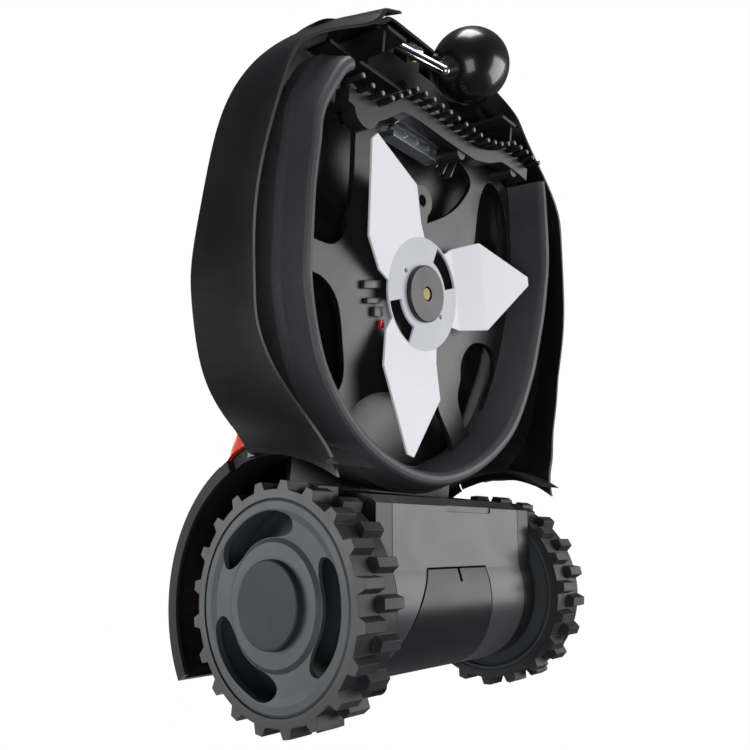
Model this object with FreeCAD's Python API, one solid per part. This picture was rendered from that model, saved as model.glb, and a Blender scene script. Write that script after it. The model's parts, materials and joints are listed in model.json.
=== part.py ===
import FreeCAD, Part
import math
import os

# Robotic lawn mower with a floating cutting deck, two lugged drive wheels and a ball caster.
# Millimetres. Pieces are drawn in body axes: X forward from the blade axis, Y left, Z up from
# the drive wheels' contact. The body stands nose down by PITCH, so every piece is turned about
# the drive axle and shifted along X when it is written, with the ground at Z = 0.

V = FreeCAD.Vector
UP = V(0, 0, 1)
SIDE = V(0, 1, 0)
SIDES = {"right": -1, "left": 1}

# ---- driving sizes -------------------------------------------------------------------------
WHEEL_R = 81.0          # outside of the tyre lugs
AXLE_X = -243.8         # drive axle behind the blade axis
AXLE_Z = WHEEL_R
CASTER_R = 32.5
CASTER_PIVOT_X = 227.8
CASTER_TRAIL = 26.0
CASTER_Z = 64.5         # caster wheel centre in body axes
CASTER_SWIVEL = 30.8    # resting angle of the caster wheel, degrees
PITCH = math.degrees(math.asin((WHEEL_R - CASTER_R - (AXLE_Z - CASTER_Z))
                               / (CASTER_PIVOT_X - CASTER_TRAIL - AXLE_X)))
SHIFT_X = 46.4          # from the blade axis to the middle of the machine

WALL = 3.0              # body shell
GAP = 0.4               # between neighbouring pieces
FIT = 0.15              # between pieces that rest against each other
RUN = 0.05              # radial running clearance

# body skin, stations from the tail to the nose
SKIN_X = [-318, -300, -270, -240, -200, -165, -140, -118, -95, -70, -44, 0, 50, 100, 135,
          165, 190, 210, 225, 237, 246]
SKIN_HALF = [122, 138, 147, 150, 151, 155, 172, 197, 213, 222, 228, 227.5, 223, 208, 184,
             153, 122, 94, 70, 48, 26]
SKIN_FOOT = [118, 134, 143, 146, 146, 146, 152, 170, 187, 200, 205, 211, 208, 198, 181,
             138, 108, 84, 62, 42, 22]
SKIN_FOOT_Z = [112, 106, 90, 70, 40, 32, 40, 48, 57, 62, 64, 64, 64, 64, 64,
               64, 66, 74, 84, 93, 100]
SKIN_TOP = [172, 187, 198, 204, 208, 210, 211, 212, 212, 212, 211, 209, 205, 198, 190,
            182, 174, 166, 158, 150, 140]
SHOULDER_Z = 97.0
SHOULDER_RISE_X = 190.0     # forward of this the shoulder climbs towards the nose
SHOULDER_RISE = 0.30
CROWN_POWER = 2.4           # superellipse exponent of the cross-section above the shoulder
WIDE_POWER = 1.6            # the same where the skirts stand out beside the hood
LEDGE_IN = 38.0             # sloping ledge from the widest shoulder in to the hood
LEDGE_UP = 21.0
LEDGE_FROM, LEDGE_FULL = 151.0, 197.0   # half widths where the ledge starts and is full
LEDGE_LEAST = 0.02          # share of the ledge kept on the narrow stations

# parting lines
HOOD_Z = 124.0
HOOD_DROP_X = -20.0         # behind this the hood edge drops
HOOD_LOW_X = -86.0
HOOD_LOW_Z = 110.0
BUMPER_HALF_Y = 106.0
BUMPER_BACK_X = 170.0
BUMPER_TRAVEL = 5.0
NOTCH_HALF_Y = 68.0         # opening in the bumper for the caster
NOTCH_Z = 118.0

BOSS_TOP = 134.0        # caster boss
BUSH_R = 7.5
GUIDES = (-40.0, 40.0)  # bumper guide rods
GUIDE_R = 4.0
GUIDE_Z = 130.0

# wheels
TYRE_IN_Y = 109.0
TYRE_OUT_Y = 146.0
TREAD_R = 75.0
RIM_R = 69.0
LUGS = 20
HUB_CAP_R = 28.7
HUB_CAP_PROUD = 5.0
AXLE_R = 6.0
ARCH_R = 98.0
FENDER_R = 107.0
FENDER_IN_Y = 108.0
FENDER_OUT_Y = 149.0
FENDER_FRONT_Y = 114.0  # inner edge of the wall ahead of the wheel

# rear housing
DRUM_R = 57.0
DRUM_WALL = 5.0
HOUSING_HALF_Y = 103.0
HOUSING_FRONT_X = -167.0
COVER_HALF_Y = 85.0
COVER_T = 2.2

# chassis pan
PAN_Z = 118.0
PAN_T = 4.0
MOTOR_R = 38.0
POST_R = 5.0
POSTS = [(-64.0, 0.0), (36.0, 56.0), (36.0, -56.0)]
SCREW_X = 84.0
SCREW_R = 5.0

# cutting deck
DECK_DOWN = 26.0
DECK_UP = 8.0
RING_Z = 57.0
RING_TOP = 104.0
RING_FACE_W = 14.0
RING_FACE_RISE = 18.0
BEAD_R = 5.5            # rounded lower lip of the ring
BEAD_N = 4.0            # its centre outside the ring's line
SPIDER_Z = 95.0
SPIDER_T = 5.0
BLADE_R = 140.0
BLADE_Z = 86.0
BLADE_T = 2.0
DISC_R = 48.0
BLADE_DROP = 22.0
BLADE_FIRST = -47.6
PIN_R = 2.1
PIN_Z = 57.0


# ---- helpers -------------------------------------------------------------------------------
def box(x0, x1, y0, y1, z0, z1):
    return Part.makeBox(x1 - x0, y1 - y0, z1 - z0, V(x0, y0, z0))


def cyl(r, x, y, z0, z1):
    return Part.makeCylinder(r, z1 - z0, V(x, y, z0), UP)


def cyl_y(r, x, z, y0, y1):
    low, high = min(y0, y1), max(y0, y1)
    return Part.makeCylinder(r, high - low, V(x, low, z), SIDE)


def rod(r, start, end):
    return Part.makeCylinder(r, (end - start).Length, start, end - start)


def prism(points, z0, z1):
    wire = Part.makePolygon([V(x, y, z0) for x, y in points] + [V(*points[0], z0)])
    return Part.Face(wire).extrude(V(0, 0, z1 - z0))


def prism_y(points, y0, y1):
    wire = Part.makePolygon([V(x, y0, z) for x, z in points] + [V(points[0][0], y0, points[0][1])])
    return Part.Face(wire).extrude(V(0, y1 - y0, 0))


def blob(points, z0, z1):
    """Upright solid whose outline is a smooth closed curve through the points."""
    curve = Part.BSplineCurve()
    curve.interpolate([V(x, y, z0) for x, y in points], PeriodicFlag=True)
    return Part.Face(Part.Wire(curve.toShape())).extrude(V(0, 0, z1 - z0))


def fuse(shapes):
    first = shapes[0]
    if len(shapes) == 1:
        return first
    return first.multiFuse(shapes[1:]).removeSplitter()


def group(shapes):
    return Part.makeCompound(shapes)


def between(x, xs, ys):
    for i in range(len(xs) - 1):
        if x <= xs[i + 1]:
            t = (x - xs[i]) / (xs[i + 1] - xs[i])
            return ys[i] + t * (ys[i + 1] - ys[i])
    return ys[-1]


def axle_cut(radius, half_in, half_out):
    """The space of both drive wheels, as two cylinders about the axle."""
    return [cyl_y(radius, AXLE_X, AXLE_Z, s * half_in, s * half_out) for s in (-1, 1)]


# ---- body skin -----------------------------------------------------------------------------
def skin_section(i, inset):
    x = SKIN_X[i]
    lo, hi = max(i - 1, 0), min(i + 1, len(SKIN_X) - 1)
    slope = (SKIN_HALF[hi] - SKIN_HALF[lo]) / (SKIN_X[hi] - SKIN_X[lo])
    side_in = inset * min(math.hypot(1, slope), 2.2)
    half = SKIN_HALF[i] - side_in
    foot = SKIN_FOOT[i] - side_in
    foot_z = SKIN_FOOT_Z[i] - (1.0 if inset else 0.0)
    shoulder = SHOULDER_Z + max(0.0, x - SHOULDER_RISE_X) * SHOULDER_RISE
    shoulder = max(shoulder, SKIN_FOOT_Z[i] + 8)
    top = SKIN_TOP[i] - inset
    share = min(1.0, max(LEDGE_LEAST, (SKIN_HALF[i] - LEDGE_FROM) / (LEDGE_FULL - LEDGE_FROM)))
    power = CROWN_POWER + share * (WIDE_POWER - CROWN_POWER)
    hood_half, hood_z = half - share * LEDGE_IN, shoulder + share * LEDGE_UP
    arc = []
    for k in range(-9, 10):
        t = math.radians(90 - abs(k) * 10)
        y = hood_half * abs(math.cos(t)) ** (2 / power)
        z = hood_z + (top - hood_z) * abs(math.sin(t)) ** (2 / power)
        arc.append(V(x, math.copysign(y, k), z))
    low_r, low_l = V(x, -foot, foot_z), V(x, foot, foot_z)
    crown = Part.BSplineCurve()
    crown.interpolate(arc)
    wide_r, wide_l = V(x, -half, shoulder), V(x, half, shoulder)
    turns = [low_l, low_r, wide_r, arc[0]]
    edges = [Part.LineSegment(a, b).toShape() for a, b in zip(turns, turns[1:])]
    edges.append(crown.toShape())
    turns = [arc[-1], wide_l, low_l]
    edges += [Part.LineSegment(a, b).toShape() for a, b in zip(turns, turns[1:])]
    return Part.Wire(edges)


def skin_block(inset):
    wires = [skin_section(i, inset) for i in range(len(SKIN_X))]
    block = Part.makeLoft(wires, True, False)
    if inset:
        block = block.common(box(SKIN_X[0] + inset, SKIN_X[-1] - inset, -400, 400, 0, 400))
    return block


OUTER = skin_block(0.0)
INNER = skin_block(WALL)
LINER = skin_block(WALL + GAP)
SKIN = OUTER.cut(INNER)


def hood_line(gap):
    """Side view region above the parting line between the skirts and the hood."""
    return [(400, HOOD_Z + gap), (HOOD_DROP_X, HOOD_Z + gap), (HOOD_LOW_X, HOOD_LOW_Z + gap),
            (-400, HOOD_LOW_Z + gap), (-400, 400), (400, 400)]


ABOVE = prism_y(hood_line(0.0), -400, 400)
BUMPER_ZONE = box(BUMPER_BACK_X, 400, -BUMPER_HALF_Y, BUMPER_HALF_Y, 0, 400)


def skirt(side):
    y0, y1 = sorted((side * 60.0, side * 400.0))
    region = box(AXLE_X + 60, 400, y0, y1, 0, 400)
    wide = BUMPER_HALF_Y + GAP
    part = SKIN.common(region).cut(ABOVE)
    part = part.cut(box(BUMPER_BACK_X - BUMPER_TRAVEL - GAP, 400, -wide, wide, 0, 400))
    return part.cut(fuse(axle_cut(ARCH_R, 0, 400)))


def biggest(shape):
    return max(shape.Solids, key=lambda s: s.Volume)


def top_cover():
    hood = SKIN.common(ABOVE)
    hood = hood.cut(fuse(axle_cut(FENDER_R + GAP, FENDER_IN_Y - GAP, 400)))
    hood = hood.cut(box(BUMPER_BACK_X - BUMPER_TRAVEL - GAP, 400, -400, 400, 0, 400))
    hood = hood.cut(lid_zone(GAP)).cut(cyl(KNOB_R + 2, SCREW_X, 0, 150, 260))
    hood = hood.cut(cyl(STOP_R + RUN + 0.3, STOP_X, 0, 150, 260))
    hood = hood.cut(box(-400, AXLE_X + 60, -400, 400, 0, PAN_Z + PAN_T + GAP))
    return biggest(hood)


LID_X0, LID_X1, LID_HALF_Y = -298.0, -204.0, 66.0
LID_SWING = 6.0         # room ahead of the lid for its front edge to swing down


def lid_zone(gap):
    front = LID_X1 + (LID_SWING if gap else 0.0)
    return box(LID_X0 - gap, front, -LID_HALF_Y - gap, LID_HALF_Y + gap, 150, 260)


KNOB_R = 22.0
STOP_R = 20.0
STOP_X = -168.0


def front_bumper():
    shell = SKIN.common(BUMPER_ZONE)
    shell = biggest(shell.cut(box(0, 400, -NOTCH_HALF_Y, NOTCH_HALF_Y, 0, NOTCH_Z)))
    for y in GUIDES:
        guide = rod(GUIDE_R, V(190, y, GUIDE_Z), V(260, y, GUIDE_Z)).common(OUTER)
        shell = shell.fuse(guide)
    return biggest(shell)


# ---- chassis -------------------------------------------------------------------------------
def chassis_base():
    x_front = BUMPER_BACK_X - BUMPER_TRAVEL - 2
    slab = LINER.common(box(-314, x_front, -400, 400, PAN_Z, PAN_Z + PAN_T))
    slab = slab.cut(fuse(axle_cut(FENDER_R + GAP, FENDER_IN_Y - 4, 400)))
    tongue = box(x_front - 20, 214, -60, 60, PAN_Z, PAN_Z + PAN_T)
    holes = [cyl(MOTOR_R + 4, 0, 0, 100, 140), cyl(SCREW_R + 5.5, SCREW_X, 0, 100, 140)]
    holes += [cyl(POST_R + 5, x, y, 100, 140) for x, y in POSTS]
    pan = slab.fuse(tongue)
    boss = cyl(10, CASTER_PIVOT_X, 0, PAN_Z, BOSS_TOP)
    web = box(205, CASTER_PIVOT_X, -9, 9, PAN_Z, BOSS_TOP)
    sleeves = [box(194, 210, y - 8, y + 8, PAN_Z + PAN_T - 1, GUIDE_Z + 7) for y in GUIDES]
    pan = fuse([pan, boss, web] + sleeves)
    holes.append(cyl(BUSH_R, CASTER_PIVOT_X, 0, 100, 160))
    holes += [rod(GUIDE_R + RUN, V(180, y, GUIDE_Z), V(220, y, GUIDE_Z)) for y in GUIDES]
    return pan.cut(fuse(holes))


def front_frame():
    """Upright front wall with side returns under the pan, open for the caster."""
    wall = box(FRAME_X, FRAME_X + 3, -128, 128, 96, PAN_Z)
    sides = [box(FRAME_X, 186, s * 96 - 1.5, s * 96 + 1.5, 70, PAN_Z) for s in (-1, 1)]
    plates = []
    for s in (-1, 1):
        y0, y1 = sorted((s * 74.0, s * 97.5))
        plates.append(box(184, 187, y0, y1, 66, PAN_Z))
    corner = [(FRAME_X, PAN_Z), (FRAME_X, 98), (FRAME_X + 20, PAN_Z)]
    gussets = [prism_y(corner, y - 1, y + 1) for y in (-60, 60)]
    return fuse([wall] + sides + plates + gussets)


FRAME_X = 167.0


def boundary_sensor():
    """Coil former across the front wall."""
    coil = cyl_y(6, FRAME_X + 11.2, 108, -26, 26)
    cheeks = [cyl_y(8, FRAME_X + 11.2, 108, y, y + 2) for y in (-28, 26)]
    foot = box(FRAME_X + 3, FRAME_X + 9, -26, 26, 104, 112)
    return fuse([coil, foot] + cheeks)


def drum_face(d):
    """Side outline of the rear housing, moved inwards by d, as a face in the XZ plane."""
    r = DRUM_R - d
    low, rear = math.radians(-62), math.radians(178)
    p_low = V(AXLE_X + r * math.cos(low), 0, AXLE_Z + r * math.sin(low))
    p_bot = V(AXLE_X, 0, AXLE_Z - r)
    p_rear = V(AXLE_X + r * math.cos(rear), 0, AXLE_Z + r * math.sin(rear))
    top = PAN_Z - d
    a = V(HOUSING_FRONT_X - d, 0, top)
    b = V(HOUSING_FRONT_X - d, 0, 44 + 0.4 * d)
    c = V(HOUSING_FRONT_X - 5 - 0.9 * d, 0, 35.5 + d)
    e = V(p_rear.x - 8, 0, top)
    arc = Part.Arc(p_low, p_bot, p_rear).toShape()
    edges = [Part.LineSegment(a, b).toShape(), Part.LineSegment(b, c).toShape(),
             Part.LineSegment(c, p_low).toShape(), arc,
             Part.LineSegment(p_rear, e).toShape(), Part.LineSegment(e, a).toShape()]
    return Part.Face(Part.Wire(edges))


def drum_block(d, half):
    face = drum_face(d)
    face.translate(V(0, -half, 0))
    return face.extrude(V(0, 2 * half, 0))


COVER_ZONE = [(HOUSING_FRONT_X + 5, 52), (HOUSING_FRONT_X + 5, 10), (-310, 10), (-310, 70),
              (-275, 70), (-240, 52)]


def cover_skin(d0, d1, half, grow):
    skin = drum_block(d0, half).cut(drum_block(d1, half + 1))
    zone = [(x + (grow if x < -200 else 0) * -1, z + (grow if z > 40 else 0)) for x, z in COVER_ZONE]
    return skin.common(prism_y(zone, -half, half))


TONGUE = [(-217, -44), (-217, 32), (-269, 36), (-330, 50), (-330, -95), (-269, -74), (-240, -58)]


def tongue_zone(grow):
    cx, cy = -262.0, -16.0
    points = []
    for x, y in TONGUE:
        points.append((x + math.copysign(grow, x - cx), y + math.copysign(grow, y - cy)))
    return prism(points, 5, 76)


def rear_housing():
    shell = drum_block(0, HOUSING_HALF_Y).cut(drum_block(DRUM_WALL, HOUSING_HALF_Y - WALL))
    shell = shell.cut(cover_skin(-1, COVER_T + GAP, COVER_HALF_Y + GAP, GAP))
    door = box(-232, -180, -66, 66, 10, 50)
    shell = shell.cut(door)
    opening = box(-240, HOUSING_FRONT_X - 14, -90, 90, PAN_Z - 8, PAN_Z + 1)
    bores = fuse(axle_cut(BEARING_R, 90, 110))
    return shell.cut(opening).cut(bores)


def battery_cover():
    cover = cover_skin(0, COVER_T, COVER_HALF_Y, 0)
    cover = cover.cut(tongue_zone(1.2))
    notch = box(HOUSING_FRONT_X - 9, HOUSING_FRONT_X + 1, -20, 42, 30, 36.2)
    return biggest(cover.cut(notch))


def service_hatch():
    hatch = cover_skin(0.0, COVER_T, COVER_HALF_Y - 5, 0).common(tongue_zone(0))
    slit = box(-226, -214, -7, -4, 10, 60)
    return biggest(hatch.cut(slit))


BEARING_R = 13.0


def wheel_bearing(side):
    outer = cyl_y(BEARING_R, AXLE_X, AXLE_Z, side * 92, side * 106)
    return outer.cut(cyl_y(AXLE_R + RUN, AXLE_X, AXLE_Z, side * 80, side * 120))


def gearmotor(side):
    body = cyl_y(24, AXLE_X, AXLE_Z, side * 40, side * 91.6)
    can = cyl_y(17, AXLE_X, AXLE_Z, side * 8, side * 40)
    bore = cyl_y(AXLE_R + RUN, AXLE_X, AXLE_Z, side * 58, side * 120)
    foot = box(-258, -230, *sorted((side * 60.0, side * 70.0)), 100, PAN_Z - DRUM_WALL)
    return fuse([body, can, foot]).cut(bore).cut(cyl_y(AXLE_R + 2, AXLE_X, AXLE_Z, side * 56, side * 59))


def battery_pack():
    return box(-203, HOUSING_FRONT_X - DRUM_WALL - GAP, -60, 60, 46.8, 104)


def fender(side):
    shell = cyl_y(FENDER_R, AXLE_X, AXLE_Z, side * FENDER_IN_Y, side * FENDER_OUT_Y)
    hollow = cyl_y(FENDER_R - WALL, AXLE_X, AXLE_Z, side * (FENDER_IN_Y - 1), side * (FENDER_OUT_Y - WALL))
    mouth = cyl_y(ARCH_R, AXLE_X, AXLE_Z, side * 100, side * 160)
    rear = [(-310, 165), (-244, 81), (-150, 70), (-150, 0), (-400, 0), (-400, 140)]
    part = shell.cut(hollow).cut(mouth).cut(prism_y(rear, -200, 200))
    part = part.cut(box(AXLE_X + 78, 400, -FENDER_FRONT_Y, FENDER_FRONT_Y, 0, PAN_Z))
    y0, y1 = sorted((side * (FENDER_IN_Y - WALL), side * (FENDER_IN_Y + GAP)))
    cheek = LINER.common(box(-314, AXLE_X + 106, y0, y1, PAN_Z + PAN_T, 260))
    beside = SKIN.common(box(-190, -100, -400, 400, 0, PAN_Z + 20))
    inward = beside.copy()
    inward.translate(V(0, -side * GAP, 0))
    part = biggest(part.cut(beside).cut(inward))
    return biggest(part.fuse(cheek))


# ---- drive wheels --------------------------------------------------------------------------
def lug(side, angle, y_in, y_out, foot, tip):
    r0, r1 = TREAD_R - 1.0, WHEEL_R
    pts = [(r0, -foot), (r1, -tip), (r1, tip), (r0, foot)]
    wire = Part.makePolygon([V(r, side * y_in, z) for r, z in pts + pts[:1]])
    block = Part.Face(wire).extrude(V(0, side * (y_out - y_in), 0))
    block.rotate(V(0, 0, 0), SIDE, angle)
    block.translate(V(AXLE_X, 0, AXLE_Z))
    return block


def tyre(side):
    body = cyl_y(TREAD_R, AXLE_X, AXLE_Z, side * TYRE_IN_Y, side * TYRE_OUT_Y)
    bore = cyl_y(RIM_R, AXLE_X, AXLE_Z, side * 100, side * 160)
    mid = (TYRE_IN_Y + TYRE_OUT_Y) / 2
    step = 360.0 / LUGS
    lugs = []
    for k in range(LUGS):
        lugs.append(lug(side, k * step, mid - 1, TYRE_OUT_Y, 5.6, 3.2))
        lugs.append(lug(side, (k + 0.5) * step, TYRE_IN_Y, mid + 1, 5.6, 3.2))
    return body.cut(bore).multiFuse(lugs)


RIM_FACE_Y = 143.0
RIM_WEB_Y = 114.0


def blob_y(points, y0, y1):
    curve = Part.BSplineCurve()
    curve.interpolate([V(x, y0, z) for x, z in points], PeriodicFlag=True)
    return Part.Face(Part.Wire(curve.toShape())).extrude(V(0, y1 - y0, 0))


WINDOW = [(-36, 59), (-18, 61), (0, 61), (18, 61), (36, 59), (42, 52), (34, 45), (14, 43.5), (-14, 43.5),
          (-34, 45), (-42, 52)]     # angle and radius round one rim window


def rim(side):
    """Dished wheel centre: outer face with three windows, barrel and inner web."""
    rim_r, cap_r, out = RIM_R - FIT, HUB_CAP_R + 0.2, TYRE_OUT_Y
    bore = AXLE_R + FIT
    face = [(rim_r, TYRE_IN_Y + 1), (rim_r, out - 1.5), (RIM_R - 2, out), (62, out), (57, out - 1.4),
            (43, out - 2.4), (40, out), (cap_r, out), (cap_r, out - 2), (0, out - 2), (0, out - 6),
            (bore, out - 6), (bore, 112), (15, 112), (15, RIM_WEB_Y), (RIM_R - WALL, RIM_WEB_Y),
            (RIM_R - WALL, TYRE_IN_Y + 1)]
    wire = Part.makePolygon([V(r, side * y, 0) for r, y in face + face[:1]])
    body = Part.Face(wire).revolve(V(0, 0, 0), SIDE, 360)
    body.translate(V(AXLE_X, 0, AXLE_Z))
    y0, y1 = side * (RIM_WEB_Y + WALL), side * (RIM_FACE_Y - 2.5)
    hollow = cyl_y(RIM_R - WALL, AXLE_X, AXLE_Z, y0, y1).cut(cyl_y(15, AXLE_X, AXLE_Z, y0, y1))
    body = body.cut(hollow)
    windows = []
    for k in range(3):
        outline = []
        for angle, r in WINDOW:
            t = math.radians(angle + 120 * k + 30)
            outline.append((AXLE_X + r * math.cos(t), AXLE_Z + r * math.sin(t)))
        windows.append(blob_y(outline, side * (RIM_FACE_Y - 5), side * (out + 5)))
    return body.cut(group(windows))


def hub_cap(side):
    cap = cyl_y(HUB_CAP_R, AXLE_X, AXLE_Z, side * (TYRE_OUT_Y - 2), side * (TYRE_OUT_Y + HUB_CAP_PROUD))
    edges = [e for e in cap.Edges if abs(abs(e.CenterOfMass.y) - TYRE_OUT_Y - HUB_CAP_PROUD) < 0.1
             and e.Length > 10]
    return cap.makeFillet(1.5, edges[:1])


def drive_axle(side):
    return cyl_y(AXLE_R, AXLE_X, AXLE_Z, side * 60, side * (TYRE_OUT_Y - 6))


# ---- caster --------------------------------------------------------------------------------
def caster_turn(shape):
    """Place a shape drawn about the pivot, with its wheel trailing along -X."""
    shape.rotate(V(0, 0, 0), UP, -CASTER_SWIVEL)
    shape.translate(V(CASTER_PIVOT_X, 0, 0))
    return shape


CASTER_HALF = 34.0
CASTER_BARREL = [(-31, 18), (-22, 26.5), (0, CASTER_R), (22, 26.5), (31, 18)]
CASTER_END_R = 10.5


def caster_ball():
    """Egg-shaped barrel about the wheel's own axis."""
    line = [(-CASTER_HALF, CASTER_END_R)] + CASTER_BARREL + [(CASTER_HALF, CASTER_END_R)]
    curve = Part.BSplineCurve()
    curve.interpolate([V(0, y, r) for y, r in line])
    corners = [V(0, CASTER_HALF, CASTER_END_R), V(0, CASTER_HALF, 0), V(0, -CASTER_HALF, 0),
               V(0, -CASTER_HALF, CASTER_END_R)]
    edges = [curve.toShape()] + [Part.LineSegment(a, b).toShape() for a, b in zip(corners, corners[1:])]
    return Part.Face(Part.Wire(edges)).revolve(V(0, 0, 0), SIDE, 360)


def caster_wheel():
    ball = caster_ball()
    ball = ball.cut(Part.makeCylinder(9.0, 12, V(0, -CASTER_HALF - 1, 0), SIDE))
    ball = ball.cut(Part.makeCylinder(CASTER_AXLE_R + RUN, AXLE_BORE, V(0, -CASTER_HALF - 1, 0), SIDE))
    ball.translate(V(-CASTER_TRAIL, 0, CASTER_Z))
    return caster_turn(ball)


CASTER_AXLE_R = 4.0
AXLE_BORE = 62.0


def caster_hub():
    hub = Part.makeCylinder(8.9, 10, V(0, -CASTER_HALF, 0), SIDE)
    hub = hub.cut(Part.makeCylinder(CASTER_AXLE_R + RUN, AXLE_BORE, V(0, -CASTER_HALF - 1, 0), SIDE))
    hub.translate(V(-CASTER_TRAIL, 0, CASTER_Z))
    return caster_turn(hub)


def caster_fork():
    r = CASTER_AXLE_R
    side_y = -CASTER_HALF - 7
    route = [V(0, 0, BOSS_TOP - 2), V(0, 0, PAN_Z - 6), V(6, side_y + 6, PAN_Z - 10),
             V(-CASTER_TRAIL, side_y, CASTER_Z), V(-CASTER_TRAIL, 22, CASTER_Z)]
    steel = rod(r, route[0], route[1])
    for start, end in zip(route[1:], route[2:]):
        steel = steel.fuse(Part.makeSphere(r * 1.03, start)).fuse(rod(r, start, end))
    steel = steel.fuse(Part.makeCylinder(7, 3, V(0, 0, PAN_Z - 3 - GAP), UP))
    return caster_turn(steel)


def caster_bush():
    bush = cyl(BUSH_R, CASTER_PIVOT_X, 0, PAN_Z, BOSS_TOP)
    return bush.cut(cyl(CASTER_AXLE_R + RUN, CASTER_PIVOT_X, 0, 100, 160))


# ---- cutting deck --------------------------------------------------------------------------
RING_PATH = [(131, -137), (118, -148), (98, -158), (75, -163), (51, -163.5), (20, -163), (-12, -161), (-37, -157),
             (-63, -148), (-87, -135), (-106, -118), (-122, -98), (-133, -78), (-140, -60),
             (-145, -42), (-148.5, -18), (-148.5, 5), (-143.5, 32), (-132.5, 61), (-117, 87.5),
             (-98, 109), (-76, 123), (-51.5, 134), (-26.5, 142), (-1.3, 147.7), (24, 152),
             (49, 154), (78, 153), (111, 146), (143, 137)]


def ring_section(i):
    last = len(RING_PATH) - 1
    a, b = RING_PATH[max(i - 1, 0)], RING_PATH[min(i + 1, last)]
    tx, ty = b[0] - a[0], b[1] - a[1]
    norm = math.hypot(tx, ty)
    nx, ny = ty / norm, -tx / norm
    x, y = RING_PATH[i]
    if nx * x + ny * y < 0:
        nx, ny = -nx, -ny
    w, h = RING_FACE_W, RING_FACE_RISE
    bead = []
    for angle in (180, 210, 240, 270, 300, 325):
        t = math.radians(angle)
        bead.append((BEAD_N + BEAD_R * math.cos(t), BEAD_R + BEAD_R * math.sin(t)))
    inner, top = BEAD_N - BEAD_R, RING_TOP - RING_Z
    profile = bead + [(w, h), (w + WALL, h + 6), (w + WALL, top), (w, top), (w, h + 7), (w - 2, h + 3),
                      (BEAD_N + 2, 2 * BEAD_R - 2), (inner + WALL, 2 * BEAD_R), (inner + WALL, top),
                      (inner, top)]
    pts = [V(x + nx * n, y + ny * n, RING_Z + z) for n, z in profile]
    return Part.makePolygon(pts + pts[:1])


def deck_ring():
    ring = Part.makeLoft([ring_section(i) for i in range(len(RING_PATH))], True, False)
    return ring.cut(box(100, 200, -200, 200, SPIDER_Z - 0.1, 200))


# windows between the arms of the spider, as smooth closed outlines
RING_FIT = 0.989
REAR_RIGHT = [(-12, -118), (-17, -105), (-27, -95), (-42, -89), (-62, -84), (-80, -81), (-92, -84),
              (-101, -98), (-96, -116), (-74, -132), (-44, -143), (-20, -142)]
REAR_LEFT = [(-22, 101), (-36, 80), (-48, 75.5), (-61, 76.5), (-72, 74), (-83, 76), (-96, 84),
             (-106, 94), (-102, 104), (-84, 116), (-60, 127), (-38, 134), (-24, 124)]
REAR_MIDDLE = [(-90, 45), (-112, 64), (-127, 72), (-138, 56), (-143, 28), (-143, 0), (-140, -30),
               (-130, -58), (-116, -72), (-100, -62), (-86, -22), (-84, 14)]
FRONT_RIGHT = [(110, -92), (72, -89.5), (42, -91), (23, -96), (16, -103), (13, -117), (18, -142),
               (44, -157), (84, -156), (106, -142), (114, -116)]
FRONT_LEFT = [(70, 84), (98, 86), (124, 92), (136, 102), (132, 122), (112, 137), (80, 145),
              (46, 144), (20, 130), (12, 113), (30, 94), (50, 86)]
FRONT_MIDDLE = [(66, 8), (75, 25), (91, 48), (110, 65), (126, 71), (136, 58), (138, 20), (138, -20),
                (133, -50), (120, -66), (100, -64), (84, -44), (70, -18)]


def deck_spider():
    z0, z1 = SPIDER_Z, SPIDER_Z + SPIDER_T
    outline = [(x * RING_FIT, y * RING_FIT) for x, y in RING_PATH]
    outline += [(150, 100), (146, 50), (146, -50), (132, -100)]
    plate = prism(outline, z0, z1)
    windows = [REAR_RIGHT, REAR_LEFT, REAR_MIDDLE, FRONT_RIGHT, FRONT_LEFT, FRONT_MIDDLE]
    plate = plate.cut(group([blob(w, z0 - 1, z1 + 1) for w in windows]))
    hub = cyl(56, 0, 0, z0, z1)
    tower = cyl(MOTOR_R + 3, 0, 0, z1 - 1, z1 + 4)
    pads = [cyl(POST_R + 6, x, y, z0, z1) for x, y in POSTS] + [cyl(14, SCREW_X, 0, z0, z1)]
    bridge = box(40, SCREW_X + 4, -9, 9, z0, z1)
    body = fuse([plate, hub, tower, bridge] + pads)
    holes = [cyl(POST_R, x, y, 80, 120) for x, y in POSTS]
    holes += [cyl(16, 0, 0, 80, 120), cyl(SCREW_R + RUN, SCREW_X, 0, 80, 120)]
    return body.cut(fuse(holes))


COMB_LINE = [(128, -129), (124, -112), (126, -93), (147, -65), (148, -47), (146, 7), (146, 41),
             (152, 64), (161, 84), (161, 107), (159, 130)]
COMB_PINS = 24


def comb_points():
    """Evenly pitched pins along the comb's line."""
    runs = [math.dist(a, b) for a, b in zip(COMB_LINE, COMB_LINE[1:])]
    points = []
    for k in range(COMB_PINS):
        along, i = sum(runs) * k / (COMB_PINS - 1), 0
        while i < len(runs) - 1 and along > runs[i]:
            along, i = along - runs[i], i + 1
        (x0, y0), (x1, y1) = COMB_LINE[i], COMB_LINE[i + 1]
        t = along / runs[i]
        points.append((x0 + t * (x1 - x0), y0 + t * (y1 - y0)))
    return points


COMB = comb_points()
COMB_HALF_W = 3.5
BAR_W = 12.0
BAR_LOW = 70.0
BAR_TOP = 84.0
LOBE_R = 14.0
LOBE = (114.0, -108.0)
BAR_LEGS = [(114.0, -108.0), (130.0, 20.0), (146.0, 108.0)]
LEG_R = 6.0


def deck_front_bar():
    """Cross bar behind the comb, with a round lobe at its right end and legs up to the spider."""
    front = [(x - COMB_HALF_W, y) for x, y in COMB]
    back = [(x - COMB_HALF_W - BAR_W, y) for x, y in reversed(COMB)]
    bar = prism(front + back, BAR_LOW, BAR_TOP)
    lobe = cyl(LOBE_R, *LOBE, BAR_LOW, BAR_TOP)
    legs = [cyl(LEG_R, x, y, BAR_LOW + 2, SPIDER_Z) for x, y in BAR_LEGS]
    return fuse([bar, lobe] + legs).cut(grass_comb())


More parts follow.
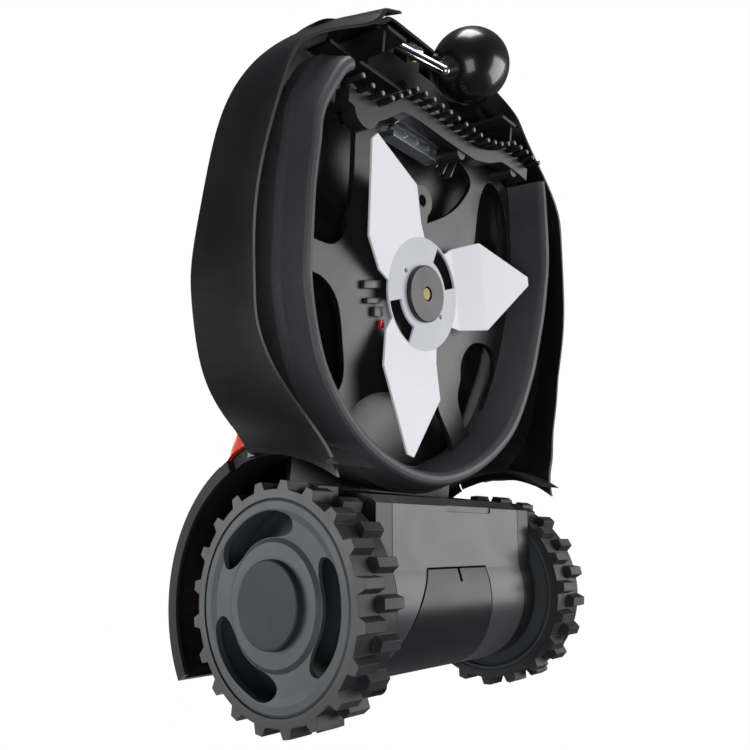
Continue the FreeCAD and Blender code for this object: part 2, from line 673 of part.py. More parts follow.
def deck_screws():
    return group([cyl(6.5, x, y, SPIDER_Z - 2.5, SPIDER_Z) for x, y in POSTS])


def grass_comb():
    front = [(x + COMB_HALF_W, y) for x, y in COMB]
    back = [(x - COMB_HALF_W, y) for x, y in reversed(COMB)]
    strip = prism(front + back, 74, 80)
    pins = []
    for x, y in COMB:
        tip, root = V(x, y, PIN_Z), V(x - 0.5, y, 76)
        pins.append(rod(PIN_R, root, tip))
    return strip.multiFuse(pins)


def mow_motor():
    can = cyl(MOTOR_R, 0, 0, SPIDER_Z + SPIDER_T + 4, 166)
    nose = cyl(15.5, 0, 0, SPIDER_Z + 1, SPIDER_Z + SPIDER_T + 4)
    bore = cyl(SHAFT_R + RUN, 0, 0, 80, 140)
    return fuse([can, nose]).cut(bore)


SHAFT_R = 5.0


def motor_shaft():
    return cyl(SHAFT_R, 0, 0, BLADE_Z + BLADE_T, 138)


def motor_bracket():
    return box(125.5, 131, -46, 20, SPIDER_Z + 0.2, SPIDER_Z + 14)


def deck_posts():
    return group([cyl(POST_R, x, y, SPIDER_Z, 158) for x, y in POSTS])


def guide_bushes():
    bushes = []
    for x, y in POSTS:
        ring = cyl(POST_R + 5, x, y, PAN_Z - 2, PAN_Z + 12)
        bushes.append(ring.cut(cyl(POST_R + RUN, x, y, 80, 160)))
    return group(bushes)


def height_nut():
    nut = cyl(9, SCREW_X, 0, SPIDER_Z + SPIDER_T, 150)
    return nut.cut(cyl(SCREW_R + RUN, SCREW_X, 0, 80, 160))


def height_screw():
    return cyl(SCREW_R, SCREW_X, 0, 104, KNOB_Z0)


KNOB_Z0 = 188.0


def height_knob():
    knob = cyl(KNOB_R, SCREW_X, 0, KNOB_Z0, KNOB_Z0 + 16)
    grips = []
    for k in range(12):
        t = math.radians(30 * k)
        grips.append(cyl(3.2, SCREW_X + KNOB_R * math.cos(t) * 1.06, KNOB_R * math.sin(t) * 1.06, 180, 220))
    return knob.cut(group(grips))


def knob_socket():
    """Cup under the hood that carries the knob and its screw."""
    z0, z1 = KNOB_Z0 - 8, KNOB_Z0 - GAP
    cup = cyl(KNOB_R + 1.6, SCREW_X, 0, z0, z1)
    cup = cup.fuse(cyl(KNOB_R + 5, SCREW_X, 0, z0, z0 + 4))
    return cup.cut(cyl(SCREW_R + RUN, SCREW_X, 0, 100, 220))


# ---- blade ---------------------------------------------------------------------------------
SHOULDER_DROP = 9.2
SHOULDER_R = 80.0
SHOULDER_HALF = 39.6
TIP_HALF = 4.0
SLOT_ANGLE = 44.0       # first of the two curved slots
PEG_R = 29.8            # circle of the two small holes


def blade_arm(angle):
    """One dished blade arm, lofted from the disc to its narrow tip."""
    def section(r, half, drop):
        z = BLADE_Z - drop
        pts = [V(r, -half, z), V(r, half, z), V(r, half, z + BLADE_T), V(r, -half, z + BLADE_T)]
        return Part.makePolygon(pts + pts[:1])
    near = Part.makeLoft([section(30, 30, 0), section(DISC_R, 36, 0)], True, True)
    mid = Part.makeLoft([section(DISC_R, 36, 0), section(SHOULDER_R, SHOULDER_HALF, SHOULDER_DROP)], True, True)
    far = Part.makeLoft([section(SHOULDER_R, SHOULDER_HALF, SHOULDER_DROP),
                         section(BLADE_R, TIP_HALF, BLADE_DROP)], True, True)
    arm = fuse([near, mid, far])
    arm.rotate(V(0, 0, 0), UP, angle)
    return arm


def blade():
    arms = [blade_arm(BLADE_FIRST + 120 * k) for k in range(3)]
    disc = cyl(DISC_R, 0, 0, BLADE_Z, BLADE_Z + BLADE_T)
    body = fuse([disc] + arms)
    slots = []
    for k in range(2):
        start = SLOT_ANGLE + 180 * k
        pts = [(0, 0)]
        for a in range(-26, 27, 4):
            t = math.radians(start + a)
            pts.append((60 * math.cos(t), 60 * math.sin(t)))
        band = cyl(46.5, 0, 0, 80, 92).cut(cyl(31.5, 0, 0, 79, 93))
        t = math.radians(start + 74)
        slots.append(cyl(2.0, PEG_R * math.cos(t), PEG_R * math.sin(t), 80, 92))
        slots.append(prism(pts, 80, 92).common(band))
    return body.cut(group(slots)).cut(cyl(3.5, 0, 0, 60, 100))


def blade_cap():
    cap = cyl(24, 0, 0, BLADE_Z - 4, BLADE_Z)
    edges = [e for e in cap.Edges if e.CenterOfMass.z < BLADE_Z - 3.9 and e.Length > 10]
    cap = cap.makeFillet(1.2, edges[:1])
    return cap.cut(cyl(6, 0, 0, BLADE_Z - 5, BLADE_Z - 1.5)).cut(cyl(3.4, 0, 0, 70, 100))


def blade_screw():
    return fuse([cyl(3.3, 0, 0, BLADE_Z - 3, BLADE_Z + BLADE_T), cyl(5.0, 0, 0, BLADE_Z - 3, BLADE_Z - 1.5)])


# ---- controls ------------------------------------------------------------------------------
PANEL_Z = 172.0


def control_panel():
    tray = box(LID_X0 + 8, LID_X1 - 10, -58, 58, PANEL_Z - 12, PANEL_Z)
    posts = (-46, -30, 30, 46)
    feet = [box(HINGE_X - 3.2, HINGE_X + 3.2, y - 3, y + 3, PANEL_Z - 12, HINGE_Z) for y in posts]
    feet += [cyl_y(3.4, HINGE_X, HINGE_Z, y - 3, y + 3) for y in posts]
    keys = [cyl(KEY_R + 0.4, x, y, 150, 200) for x, y in KEYS]
    window = box(-286, -246, -30, 30, PANEL_Z - 3, PANEL_Z + 1)
    legs = [box(x, x + 6, y - 3, y + 3, PAN_Z + PAN_T, PANEL_Z - 12) for x in (-286, -226) for y in (-50, 50)]
    body = fuse([tray] + legs + feet)
    pin = cyl_y(HINGE_R, HINGE_X, HINGE_Z, -80, 80)
    return body.cut(group(keys)).cut(window).cut(pin)


KEY_R = 7.0
KEYS = [(-230.0, -32.0), (-230.0, 0.0), (-230.0, 32.0)]


def panel_key(i):
    x, y = KEYS[i]
    return cyl(KEY_R, x, y, PANEL_Z - 6, PANEL_Z + 2.5)


def display_window():
    return box(-286, -246, -30, 30, PANEL_Z - 3, PANEL_Z)


def main_board():
    z = PAN_Z + PAN_T + 8
    legs = [cyl(3, x, y, z - 8, z + 1) for x in (-142, -90) for y in (-54, 54)]
    chips = [box(-130, -112, -20, 10, z + 2, z + 5), box(-106, -94, 20, 44, z + 2, z + 12)]
    return fuse([box(-150, -82, -60, 60, z, z + 2)] + legs + chips)


def panel_lid():
    lid = SKIN.common(lid_zone(0))
    lid = biggest(lid)
    lugs = []
    for y in (-38, 38):
        lug_block = box(HINGE_X - 3.5, HINGE_X + 3.5, y - 4, y + 4, HINGE_Z, 206)
        lugs.append(lug_block.common(OUTER))
        lugs.append(cyl_y(3.5, HINGE_X, HINGE_Z, y - 4, y + 4))
    lid = fuse([lid] + lugs)
    return biggest(lid.cut(cyl_y(HINGE_R + RUN, HINGE_X, HINGE_Z, -80, 80)))


HINGE_R = 2.0
HINGE_X = -213.0
HINGE_Z = 196.5


def hinge_pin():
    return cyl_y(HINGE_R, HINGE_X, HINGE_Z, -50, 50)


def stop_button():
    return fuse([cyl(STOP_R, STOP_X, 0, 206, 219), cyl(9, STOP_X, 0, 190, 206)])


def stop_socket():
    cup = cyl(STOP_R + 3, STOP_X, 0, 188, 203)
    cup = cup.cut(cyl(STOP_R + RUN + 0.3, STOP_X, 0, 199, 220))
    return cup.cut(cyl(9 + RUN, STOP_X, 0, 180, 220))


def carry_handle():
    bar = cyl_y(8, -339, 154, -66, 66)
    handle = bar
    for y in (-66, 66):
        handle = handle.fuse(Part.makeSphere(8.2, V(-339, y, 154)))
        handle = handle.fuse(rod(7, V(-300, y, 150), V(-339, y, 154)))
    return handle.cut(box(SKIN_X[0], 0, -400, 400, 0, 400))


def charging_contacts():
    return group([box(187, 189, s * 86 - 6, s * 86 + 6, 74, 92) for s in (-1, 1)])


def build():
    pieces = {
        "top_cover": top_cover(), "front_bumper": front_bumper(), "chassis_base": chassis_base(),
        "front_frame": front_frame(), "rear_housing": rear_housing(), "battery_cover": battery_cover(),
        "service_hatch": service_hatch(), "battery_pack": battery_pack(),
        "caster_wheel": caster_wheel(), "caster_hub": caster_hub(), "caster_fork": caster_fork(),
        "caster_bush": caster_bush(), "deck_ring": deck_ring(), "deck_spider": deck_spider(),
        "deck_front_bar": deck_front_bar(), "grass_comb": grass_comb(), "mow_motor": mow_motor(),
        "motor_shaft": motor_shaft(), "motor_bracket": motor_bracket(), "deck_posts": deck_posts(),
        "guide_bushes": guide_bushes(), "height_nut": height_nut(), "height_screw": height_screw(),
        "height_knob": height_knob(), "knob_socket": knob_socket(), "blade": blade(),
        "blade_cap": blade_cap(), "blade_screw": blade_screw(), "control_panel": control_panel(),
        "display_window": display_window(), "main_board": main_board(), "panel_lid": panel_lid(),
        "lid_hinge_pin": hinge_pin(), "stop_button": stop_button(), "stop_socket": stop_socket(),
        "carry_handle": carry_handle(), "charging_contacts": charging_contacts(),
        "deck_screws": deck_screws(), "boundary_sensor": boundary_sensor(),
    }
    for i, name in enumerate(("right_key", "middle_key", "left_key")):
        pieces[name] = panel_key(i)
    for name, side in SIDES.items():
        pieces[name + "_skirt"] = biggest(skirt(side))
        pieces[name + "_fender"] = fender(side)
        pieces[name + "_tyre"] = tyre(side)
        pieces[name + "_rim"] = rim(side)
        pieces[name + "_hub_cap"] = hub_cap(side)
        pieces[name + "_drive_axle"] = drive_axle(side)
        pieces[name + "_wheel_bearing"] = wheel_bearing(side)
        pieces[name + "_gearmotor"] = gearmotor(side)
    return pieces


def place(shape):
    """From body axes to the machine standing on level ground."""
    turned = shape.copy()
    turned.rotate(V(AXLE_X, 0, AXLE_Z), SIDE, PITCH)
    turned.translate(V(SHIFT_X, 0, 0))
    return turned


os.makedirs("parts", exist_ok=True)
for node, solid in build().items():
    standing = place(solid)
    standing.exportStep("parts/" + node + ".step")
    b = standing.BoundBox
    print("%-20s solids %d valid %s vol %9.1f  x %7.1f %7.1f  y %7.1f %7.1f  z %6.1f %6.1f" % (
        node, len(standing.Solids), standing.isValid(), standing.Volume,
        b.XMin, b.XMax, b.YMin, b.YMax, b.ZMin, b.ZMax))
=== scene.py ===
import json
import math

import bmesh
import bpy
from mathutils import Matrix, Vector


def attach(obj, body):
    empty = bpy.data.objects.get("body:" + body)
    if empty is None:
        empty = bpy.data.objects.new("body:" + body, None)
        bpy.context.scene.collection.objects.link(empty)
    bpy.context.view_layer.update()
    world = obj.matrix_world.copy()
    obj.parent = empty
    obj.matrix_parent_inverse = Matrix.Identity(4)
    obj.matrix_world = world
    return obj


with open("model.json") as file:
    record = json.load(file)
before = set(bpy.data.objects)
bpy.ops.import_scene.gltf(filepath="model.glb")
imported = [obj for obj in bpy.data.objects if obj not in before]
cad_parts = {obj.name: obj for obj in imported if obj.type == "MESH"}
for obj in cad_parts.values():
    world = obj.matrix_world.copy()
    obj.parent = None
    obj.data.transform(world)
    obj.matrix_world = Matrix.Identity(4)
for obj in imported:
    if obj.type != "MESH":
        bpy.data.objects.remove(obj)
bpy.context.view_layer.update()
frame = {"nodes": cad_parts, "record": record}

NODES = frame["nodes"]
scene = bpy.context.scene

# ---------------------------------------------------------------- camera
# position in metres, directions of the picture's right and up, lens in mm on a 36 mm sensor
CAMERA_AT = (-0.1394, -0.51213, -0.30448)
CAMERA_RIGHT = Vector((0.033101, 0.658556, -0.751804))
CAMERA_UP = Vector((0.98115, -0.164705, -0.101078))
LENS = 37.408
SHIFT = (0.03486, -0.01236)
SENSOR = 36.0
CLIP_START = 0.01


def make_camera():
    data = bpy.data.cameras.new("camera")
    data.sensor_width, data.lens = SENSOR, LENS
    data.shift_x, data.shift_y = SHIFT
    data.clip_start = CLIP_START
    camera = bpy.data.objects.new("camera", data)
    scene.collection.objects.link(camera)
    back = CAMERA_RIGHT.cross(CAMERA_UP).normalized()
    up = back.cross(CAMERA_RIGHT).normalized()
    turn = Matrix((CAMERA_RIGHT.normalized(), up, back)).transposed().to_4x4()
    camera.matrix_world = Matrix.Translation(CAMERA_AT) @ turn
    scene.camera = camera


# ---------------------------------------------------------------- materials
DRIFT_SCALE, SMEAR_SCALE, SCORE_SCALE = 9.0, 45.0, 130.0    # noise per metre of object coordinates
ROUGH_SPREAD = 0.02
ROUGH_LEAST = 0.03
BUMP_STRENGTH = 0.5
SCORE_DEPTH = 0.00004
SCORE_STRETCH = (18, 1, 1)
COAT_ROUGHNESS = 0.08
BEVEL_SAMPLES = 4


def nodes_of(name):
    made = bpy.data.materials.new(name)
    made.use_nodes = True
    tree = made.node_tree
    shader = tree.nodes["Principled BSDF"]
    return made, tree, shader


def noise(tree, coords, scale, detail=3.0, stretch=None):
    found = tree.nodes.new("ShaderNodeTexNoise")
    found.inputs["Scale"].default_value = scale
    found.inputs["Detail"].default_value = detail
    source = coords.outputs["Object"]
    if stretch:
        mapping = tree.nodes.new("ShaderNodeMapping")
        mapping.inputs["Scale"].default_value = stretch
        tree.links.new(source, mapping.inputs["Vector"])
        source = mapping.outputs["Vector"]
    tree.links.new(source, found.inputs["Vector"])
    return found.outputs["Fac"]


def spread(tree, value, low, high, at=(0.35, 0.65)):
    found = tree.nodes.new("ShaderNodeMapRange")
    found.inputs["From Min"].default_value, found.inputs["From Max"].default_value = at
    found.inputs["To Min"].default_value, found.inputs["To Max"].default_value = low, high
    tree.links.new(value, found.inputs["Value"])
    return found.outputs["Result"]


def blend_colour(tree, factor, first, second):
    found = tree.nodes.new("ShaderNodeMix")
    found.data_type = "RGBA"
    for slot, value in ((6, first), (7, second)):
        if isinstance(value, tuple):
            found.inputs[slot].default_value = (*value, 1)
        else:
            tree.links.new(value, found.inputs[slot])
    tree.links.new(factor, found.inputs[0])
    return found.outputs[2]


def finish(name, colour, rough, grain=2200.0, depth=0.00006, mottle=0.18, worn=0.35, coat=0.0,
           metallic=0.0, stretch=None, specular=0.5, round_edge=0.0006, scratch=0.0):
    """Moulded or machined surface: fine grain, drifting tone, softened and lighter rubbed edges."""
    made, tree, shader = nodes_of(name)
    coords = tree.nodes.new("ShaderNodeTexCoord")
    drift = noise(tree, coords, DRIFT_SCALE, 5.0)
    fine = noise(tree, coords, grain, 2.0, stretch)
    smear = noise(tree, coords, SMEAR_SCALE, 6.0, stretch)
    darker = tuple(c * (1 - mottle) for c in colour)
    lighter = tuple(min(1, c * (1 + mottle)) for c in colour)
    base = blend_colour(tree, spread(tree, drift, 0, 1, (0.3, 0.7)), darker, lighter)
    speck = tuple(min(1, c * (1 + 1.6 * mottle)) for c in colour)
    base = blend_colour(tree, spread(tree, fine, 0, 0.7, (0.50, 0.68)), base, speck)
    geometry = tree.nodes.new("ShaderNodeNewGeometry")
    edge = spread(tree, geometry.outputs["Pointiness"], 0, worn, (0.52, 0.62))
    rubbed = tuple(min(1, c * 1.8 + 0.02) for c in colour)
    base = blend_colour(tree, edge, base, rubbed)
    tree.links.new(base, shader.inputs["Base Color"])
    roughness = spread(tree, smear, max(ROUGH_LEAST, rough - ROUGH_SPREAD), min(1, rough + ROUGH_SPREAD))
    tree.links.new(roughness, shader.inputs["Roughness"])
    shader.inputs["Metallic"].default_value = metallic
    shader.inputs["Specular IOR Level"].default_value = specular
    if coat:
        shader.inputs["Coat Weight"].default_value = coat
        shader.inputs["Coat Roughness"].default_value = COAT_ROUGHNESS
    bevel = tree.nodes.new("ShaderNodeBevel")
    bevel.samples = BEVEL_SAMPLES
    bevel.inputs["Radius"].default_value = round_edge
    bump = tree.nodes.new("ShaderNodeBump")
    bump.inputs["Strength"].default_value = BUMP_STRENGTH
    bump.inputs["Distance"].default_value = depth
    tree.links.new(fine, bump.inputs["Height"])
    tree.links.new(bevel.outputs["Normal"], bump.inputs["Normal"])
    tree.links.new(bump.outputs["Normal"], shader.inputs["Normal"])
    if scratch:
        lines = noise(tree, coords, SCORE_SCALE, 6.0, SCORE_STRETCH)
        score = tree.nodes.new("ShaderNodeBump")
        score.inputs["Strength"].default_value = scratch
        score.inputs["Distance"].default_value = SCORE_DEPTH
        tree.links.new(lines, score.inputs["Height"])
        tree.links.new(bump.outputs["Normal"], score.inputs["Normal"])
        tree.links.new(score.outputs["Normal"], shader.inputs["Normal"])
    return made


MATERIALS = {
    "tyre": finish("tyre", (0.013, 0.0135, 0.015), 0.50, 900, 0.00010, 0.06, 0.6, specular=0.4),
    "rim_grey": finish("rim_grey", (0.050, 0.058, 0.062), 0.52, 1800, 0.00006, 0.03, 0.2, specular=0.3),
    "hood_red": finish("hood_red", (0.62, 0.030, 0.004), 0.22, 2500, 0.00002, 0.04, 0.1, 0.7),
    "stop_red": finish("stop_red", (0.55, 0.012, 0.008), 0.3, 2500, 0.00003, 0.05, 0.1, 0.4),
    "blade_steel": finish("blade_steel", (0.93, 0.93, 0.98), 0.55, 700, 0.00002, 0.02, 0.1,
                          stretch=(6, 1, 1), specular=0.25, scratch=0.12),
    # painted shade: a darker copy of blade_steel for the blade's flat disc
    "disc_steel_painted_shade": finish("disc_steel_painted_shade", (0.66, 0.66, 0.73), 0.50, 700, 0.00002, 0.02, 0.1,
                         stretch=(1, 6, 1), specular=0.25, scratch=0.10),
    "bright_steel": finish("bright_steel", (0.66, 0.67, 0.69), 0.16, 900, 0.00001, 0.05, 0.1,
                           metallic=1.0, stretch=(1, 1, 12)),
    "zinc_screw": finish("zinc_screw", (0.50, 0.51, 0.53), 0.35, 1500, 0.00003, 0.12, 0.2, metallic=1.0),
    "brass": finish("brass", (0.60, 0.38, 0.11), 0.28, 1500, 0.00003, 0.12, 0.2, metallic=1.0),
    "aluminium": finish("aluminium", (0.42, 0.44, 0.48), 0.38, 1100, 0.00004, 0.08, 0.2, metallic=0.9),
    "gloss_black": finish("gloss_black", (0.004, 0.004, 0.0045), 0.27, 700, 0.00001, 0.15, 0.1, 0.5),
    "display": finish("display", (0.012, 0.018, 0.022), 0.08, 900, 0.00001, 0.1, 0.0, 0.8),
    "board_green": finish("board_green", (0.012, 0.09, 0.030), 0.4, 700, 0.00006, 0.3, 0.2, 0.2),
    "battery_blue": finish("battery_blue", (0.02, 0.06, 0.16), 0.35, 1600, 0.00003, 0.1, 0.2),
    "ring_grey": finish("ring_grey", (0.060, 0.061, 0.066), 0.50, 1300, 0.00025, 0.30, 0.25, round_edge=0.0012),
    "deck_grey": finish("deck_grey", (0.0065, 0.0065, 0.0072), 0.36, 1500, 0.00010, 0.15, 0.6,
                        round_edge=0.0009),
    "cover_grey": finish("cover_grey", (0.034, 0.033, 0.038), 0.34, 1900, 0.00005, 0.02, 0.4),
    "skirt_charcoal": finish("skirt_charcoal", (0.009, 0.009, 0.010), 0.36, 2000, 0.00005, 0.06,
                             0.5, specular=0.35),
    "key_grey": finish("key_grey", (0.16, 0.165, 0.17), 0.5, 1500, 0.00006, 0.08, 0.2),
    "fender_black": finish("fender_black", (0.006, 0.006, 0.007), 0.60, 2000, 0.00006, 0.06, 0.5,
                           specular=0.18),
    "hub_black": finish("hub_black", (0.024, 0.026, 0.028), 0.58, 1900, 0.00004, 0.03, 0.3, specular=0.25),
    "housing_black": finish("housing_black", (0.005, 0.005, 0.006), 0.30, 1900, 0.00004, 0.04, 0.5,
                            specular=0.3),
    "dull_brass": finish("dull_brass", (0.16, 0.12, 0.06), 0.45, 1500, 0.00003, 0.12, 0.2, metallic=1.0),
    "pin_grey": finish("pin_grey", (0.30, 0.31, 0.32), 0.55, 1500, 0.00006, 0.08, 0.2),
    "chassis_black": finish("chassis_black", (0.0035, 0.0035, 0.004), 0.38, 1700, 0.00006, 0.15, 0.6),
}


# nodes that are darker than their record slot
LOOKS = {"left_fender": "fender_black", "right_fender": "fender_black", "left_hub_cap": "hub_black",
         "right_hub_cap": "hub_black", "rear_housing": "housing_black", "service_hatch": "housing_black",
         "blade_screw": "dull_brass"}
DISC_R = 0.0485             # metres, just past the blade's round disc
BLADE_Z = 86                # body axes, mm
HOOD_MIDDLE = (-0.02, 0.05)  # metres along x and z, inside the hood
FACES_OUT = 0.02


def dress_nodes():
    slots = {entry["node"]: entry["material_slot"] for entry in frame["record"]["subparts"]}
    for name, piece in NODES.items():
        piece.data.materials.clear()
        piece.data.materials.append(MATERIALS[LOOKS.get(name, slots[name])])
        for face in piece.data.polygons:
            face.material_index = 0
    # painted shade: the blade's flat disc gets a darker copy of the blade steel than its sloping arms
    blade = NODES["blade"]
    blade.data.materials.append(MATERIALS["disc_steel_painted_shade"])
    axis = row(0, 0, BLADE_Z)
    for face in blade.data.polygons:
        corners = [blade.matrix_world @ blade.data.vertices[i].co for i in face.vertices]
        if max(math.hypot(c.x - axis.x, c.y - axis.y) for c in corners) < DISC_R:
            face.material_index = 1
    # painted shade: the hood's faces looking back at the middle are painted black for the shade inside the
    # shell; only its outward faces get the red
    hood = NODES["top_cover"]
    hood.data.materials.append(MATERIALS["chassis_black"])
    turn = hood.matrix_world.to_3x3()
    for face in hood.data.polygons:
        middle = hood.matrix_world @ face.center
        out = Vector((middle.x - HOOD_MIDDLE[0], middle.y, middle.z - HOOD_MIDDLE[1])).normalized()
        if (turn @ face.normal).normalized().dot(out) < FACES_OUT:
            face.material_index = 1


# ---------------------------------------------------------------- pieces
# body axes of the machine: millimetres from the blade axis, turned nose down about the drive axle
AXLE = (-243.8, 81.0)
PITCH = math.asin(32.0 / 445.6)
SHIFT_X = 46.4


def row(x, y, z):
    dx, dz = x - AXLE[0], z - AXLE[1]
    return Vector(((AXLE[0] + dx * math.cos(PITCH) + dz * math.sin(PITCH) + SHIFT_X) / 1000, y / 1000,
                   (AXLE[1] - dx * math.sin(PITCH) + dz * math.cos(PITCH)) / 1000))


def add_piece(name, bm, material, body, smooth=40):
    """Turns a bmesh drawn in body axes into a piece riding on a CAD body."""
    for vert in bm.verts:
        vert.co = row(*vert.co)
    bmesh.ops.recalc_face_normals(bm, faces=bm.faces)
    mesh = bpy.data.meshes.new(name)
    bm.to_mesh(mesh)
    bm.free()
    mesh.shade_smooth()
    mesh.set_sharp_from_angle(angle=math.radians(smooth))
    mesh.materials.append(MATERIALS[material])
    piece = bpy.data.objects.new(name, mesh)
    scene.collection.objects.link(piece)
    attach(piece, body)
    return piece


def slab(bm, outline, z0, z1, bevel=0.6):
    """Upright prism through the outline with rounded edges, added to bm."""
    low = [bm.verts.new((x, y, z0)) for x, y in outline]
    high = [bm.verts.new((x, y, z1)) for x, y in outline]
    count = len(outline)
    faces = [bm.faces.new(low[::-1]), bm.faces.new(high)]
    for i in range(count):
        faces.append(bm.faces.new((low[i], low[(i + 1) % count], high[(i + 1) % count], high[i])))
    if bevel:
        edges = list({edge for face in faces for edge in face.edges})
        bmesh.ops.bevel(bm, geom=edges, offset=bevel, segments=2, profile=0.5, affect="EDGES",
                        clamp_overlap=True)


def turned(bm, x, y, profile, sides=20):
    """Upright turned shape: rings of (radius, z), closed at both ends, added to bm."""
    rings = []
    for radius, z in profile:
        rings.append([bm.verts.new((x + radius * math.cos(2 * math.pi * k / sides),
                                    y + radius * math.sin(2 * math.pi * k / sides), z))
                      for k in range(sides)])
    for low, high in zip(rings, rings[1:]):
        for k in range(sides):
            bm.faces.new((low[k], low[(k + 1) % sides], high[(k + 1) % sides], high[k]))
    bm.faces.new(rings[0][::-1])
    bm.faces.new(rings[-1])


def walk(line, count):
    """count evenly spaced points along a line of points."""
    runs = [math.dist(a, b) for a, b in zip(line, line[1:])]
    points = []
    for k in range(count):
        along, i = sum(runs) * k / (count - 1), 0
        while i < len(runs) - 1 and along > runs[i]:
            along, i = along - runs[i], i + 1
        t = along / runs[i]
        points.append(tuple(a + t * (b - a) for a, b in zip(line[i], line[i + 1])))
    return points


COMB_LINE = [(128, -129), (124, -112), (126, -93), (147, -65), (148, -47), (146, 7), (146, 41),
             (152, 64), (161, 84), (161, 107), (159, 130)]
COMB_PINS = 24
PIN_TIP = [(2.0, 58.4), (2.0, 57.6), (1.7, 57.1), (1.0, 56.8), (0.3, 56.7)]   # radius, height
TIP_PROUD = 0.12            # tips stand this far outside the CAD pins


def make_pin_tips():
    bm = bmesh.new()
    for x, y in walk(COMB_LINE, COMB_PINS):
        turned(bm, x, y, [(r + TIP_PROUD, z) for r, z in PIN_TIP], 14)
    add_piece("comb_pin_tips", bm, "pin_grey", "deck")


def make_deck_details():
    """Fittings seen through the deck's windows: motor plate, ribs, cable tabs and a red latch."""
    bm = bmesh.new()
    slab(bm, [(131, -48.9), (139, -41), (140, 16), (129, 7)], 96, 102, 1.2)
    slab(bm, [(135, -47), (142, -39), (143, 18), (136, 16)], 93.5, 98, 1.0)
    for y in (-30, -14, 2):
        slab(bm, [(130, y - 1), (134, y - 1), (134, y + 1), (130, y + 1)], 93, 97, 0.4)
    add_piece("motor_plate", bm, "aluminium", "deck")
    bm = bmesh.new()
    ribs = (((137.4, 29.2), (120.7, 18.3)), ((140.1, 40.8), (118.3, 29)), ((139.6, 50.1), (119.5, 41)))
    for (x0, y0), (x1, y1) in ribs:
        slab(bm, [(x0, y0), (x0 + 1.3, y0 - 1.6), (x1 + 1.3, y1 - 1.6), (x1, y1)], 96, 104, 0.4)
    add_piece("vent_ribs", bm, "cover_grey", "deck")
    bm = bmesh.new()
    slab(bm, [(0.5, -50), (-6.3, -49.2), (-11.4, -70), (-4.8, -70.9)], 91.2, 94.9, 0.7)
    slab(bm, [(-13.6, -48.2), (-18.2, -47.6), (-22.2, -65.1), (-17.7, -65.7)], 91.2, 94.9, 0.7)
    slab(bm, [(-20.3, -45.2), (-28.1, -44.1), (-30.5, -55.1), (-22.8, -56.2)], 91.2, 94.9, 0.7)
    add_piece("cable_tabs", bm, "cover_grey", "deck")
    bm = bmesh.new()
    slab(bm, [(-30.5, -42), (-37, -41), (-38.4, -46), (-31.8, -46.9)], 91.5, 94.9, 0.7)
    add_piece("red_latch", bm, "stop_red", "deck")


def make_corner_webs():
    """Shelves closing the open front corners between skirt, hood and bumper."""
    outline = [(158, -146), (167, -149), (195, -112), (195, -106.6), (166, -118), (158, -126)]
    for name, side in (("right_corner_web", 1), ("left_corner_web", -1)):
        bm = bmesh.new()
        slab(bm, [(x, side * y) for x, y in outline][::side], 119, 123, 0.8)
        add_piece(name, bm, "chassis_black", "chassis")


# ---------------------------------------------------------------- studio
FLOOR_HALF = 3.0
ROOM_LIGHT = 0.10           # world strength for every ray but the camera's
AIM = (0, 0, 0.08)
# name, position, aim, width, watts, height
SOFTBOXES = [
    ("blade_box", (0.15, 1.2, -1.15), (0.05, 0, 0.08), 1.3, 22, 1.3),
    ("camera_box", (-0.5, -1.0, -0.75), AIM, 0.9, 8, 0.9),
    ("skirt_box", (-0.1, -1.25, 1.05), (0, -0.2, 0.08), 0.7, 18, 0.9),
    ("nose_box", (1.4, -0.1, -0.1), AIM, 0.6, 9, 0.6),
    ("top_box", (0.1, 0.4, 1.6), AIM, 1.3, 30, 1.3),
    ("back_box", (-1.5, 0.3, 0.9), AIM, 0.9, 18, 0.9),
]


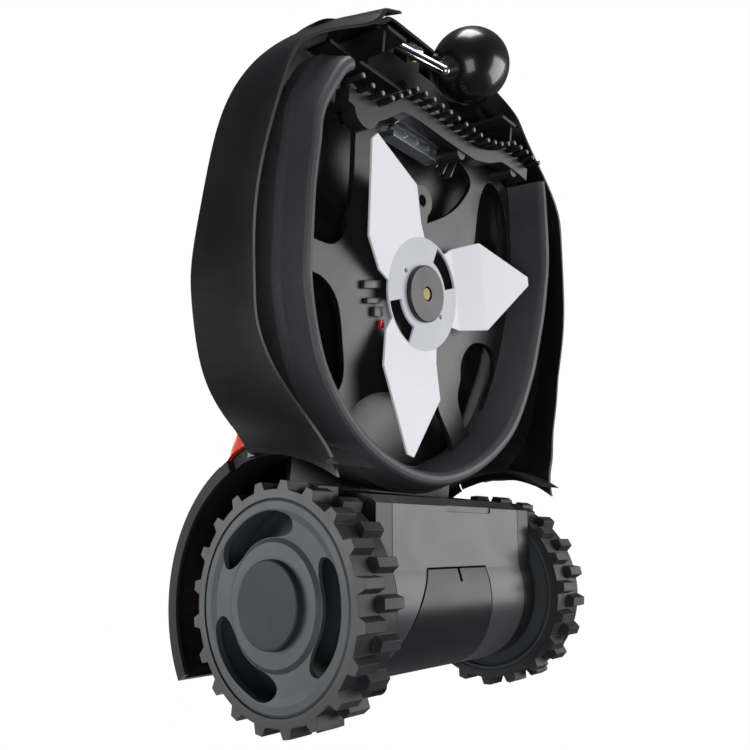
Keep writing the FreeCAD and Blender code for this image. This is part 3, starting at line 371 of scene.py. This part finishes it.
def make_floor():
    """Floor that is white from above and clear from below, where the picture's camera is."""
    half = FLOOR_HALF
    corners = [(-half, -half, 0), (half, -half, 0), (half, half, 0), (-half, half, 0)]
    mesh = bpy.data.meshes.new("floor")
    mesh.from_pydata(corners, [], [(0, 1, 2, 3)])
    floor = bpy.data.objects.new("floor", mesh)
    scene.collection.objects.link(floor)
    made = bpy.data.materials.new("floor")
    made.use_nodes = True
    tree = made.node_tree
    tree.nodes.clear()
    out = tree.nodes.new("ShaderNodeOutputMaterial")
    mixed = tree.nodes.new("ShaderNodeMixShader")
    top = tree.nodes.new("ShaderNodeBsdfDiffuse")
    top.inputs["Color"].default_value = (0.9, 0.9, 0.9, 1)
    under = tree.nodes.new("ShaderNodeBsdfTransparent")
    geometry = tree.nodes.new("ShaderNodeNewGeometry")
    tree.links.new(geometry.outputs["Backfacing"], mixed.inputs[0])
    tree.links.new(top.outputs[0], mixed.inputs[1])
    tree.links.new(under.outputs[0], mixed.inputs[2])
    tree.links.new(mixed.outputs[0], out.inputs["Surface"])
    mesh.materials.append(made)
    for side in ("visible_shadow", "visible_glossy", "visible_diffuse", "visible_transmission"):
        setattr(floor, side, False)


def softbox(name, at, aim, width, power, height):
    data = bpy.data.lights.new(name, "AREA")
    data.energy, data.shape = power, "RECTANGLE"
    data.size, data.size_y = width, height
    light = bpy.data.objects.new(name, data)
    light.location = at
    light.rotation_euler = (Vector(aim) - Vector(at)).to_track_quat("-Z", "Y").to_euler()
    scene.collection.objects.link(light)


def make_studio():
    world = bpy.data.worlds.new("world")
    scene.world = world
    world.use_nodes = True
    tree = world.node_tree
    room = tree.nodes["Background"]
    room.inputs["Color"].default_value = (1, 1, 1, 1)
    room.inputs["Strength"].default_value = 1.0
    path = tree.nodes.new("ShaderNodeLightPath")
    dim = tree.nodes.new("ShaderNodeBackground")
    dim.inputs["Color"].default_value = (0.9, 0.92, 1, 1)
    dim.inputs["Strength"].default_value = ROOM_LIGHT
    mixed = tree.nodes.new("ShaderNodeMixShader")
    tree.links.new(path.outputs["Is Camera Ray"], mixed.inputs[0])
    tree.links.new(dim.outputs[0], mixed.inputs[1])
    tree.links.new(room.outputs[0], mixed.inputs[2])
    tree.links.new(mixed.outputs[0], tree.nodes["World Output"].inputs["Surface"])
    for box in SOFTBOXES:
        softbox(*box)


make_camera()
make_floor()
make_studio()
dress_nodes()
make_pin_tips()
make_deck_details()
make_corner_webs()

scene.view_settings.view_transform = "Standard"
